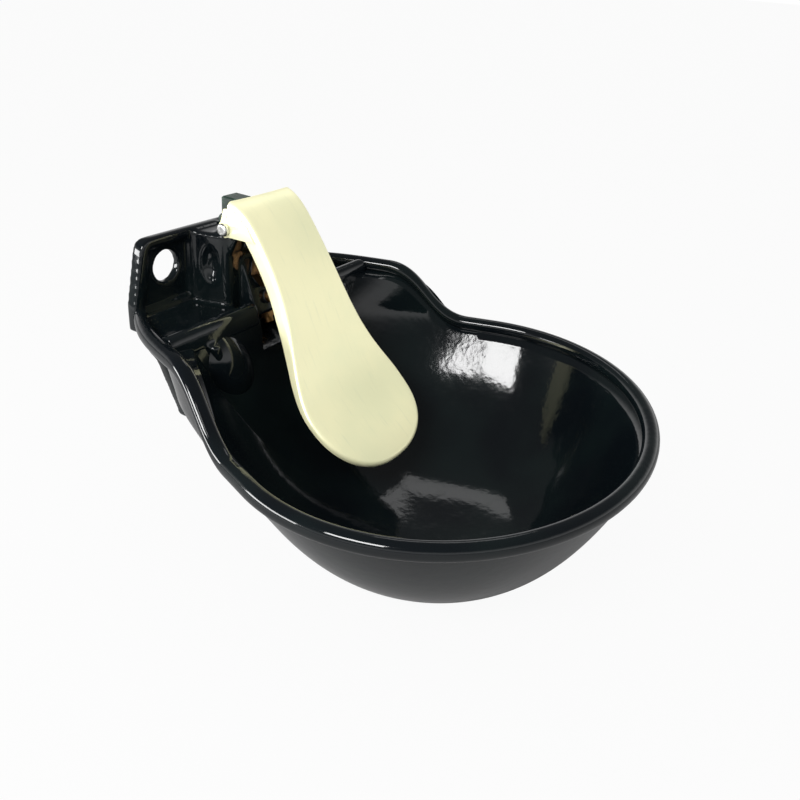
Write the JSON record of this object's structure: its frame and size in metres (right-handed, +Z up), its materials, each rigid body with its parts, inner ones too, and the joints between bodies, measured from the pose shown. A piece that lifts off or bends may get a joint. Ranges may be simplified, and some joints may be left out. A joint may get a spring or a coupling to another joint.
{
  "type": "livestock drinking bowl",
  "caption": "Wall-hung enamelled iron drinking bowl with a raised neck, a sheet metal push paddle on a hinge pin and a spring-return water valve with a square-headed plug above",
  "frame": {"origin": "midway between the two wing bolt holes, on the flat rear face that lies on the wall", "axes": "X across the bowl, to the right as seen by someone facing the wall; +Y from the bowl into the wall; +Z up"},
  "size_m": [0.26, 0.2705, 0.1692],
  "materials": {
    "enamel": "glossy near-black enamel with a faint green and blue cast",
    "paddle_steel": "bright pressed sheet, slightly warm",
    "steel": "bright zinc plated",
    "plug_iron": "dark enamelled iron",
    "brass": "turned",
    "rubber": "matt black",
    "black_plastic": "satin"
  },
  "bodies": {
    "bowl": {"bowl_casting": "enamel", "hinge_pin": "steel", "hinge_washer_left": "steel", "hinge_washer_right": "steel", "pin_washer": "steel", "split_pin": "steel", "top_plug": "plug_iron", "body_gasket": "rubber", "valve_body": "brass", "valve_seat": "brass", "return_spring": "steel", "stem_o_ring": "rubber", "gland_nut": "brass", "outlet_nozzle": "brass", "flow_screw": "brass", "screw_ring": "rubber", "inlet_strainer": "brass"},
    "paddle": {"paddle": "paddle_steel"},
    "stem": {"valve_stem": "steel", "seal_disc": "rubber", "stem_cap": "black_plastic"}
  },
  "joints": [
    {"name": "paddle_hinge", "type": "hinge", "parent": "bowl", "child": "paddle", "pos_m": [0, -0.028, 0.021], "axis": [1, 0, 0], "range_deg": [0, 8], "stiffness_Nm_per_rad": 3, "springref_deg": -5.73},
    {"name": "stem_slide", "type": "slide", "parent": "bowl", "child": "stem", "axis": [0, 0.9397, -0.342], "range_m": [0, 0.0045], "deforming": ["return_spring"]}
  ],
  "couplings": [
    {"joint": "stem_slide", "follows": "paddle_hinge", "m_per_rad": 0.032}
  ]
}
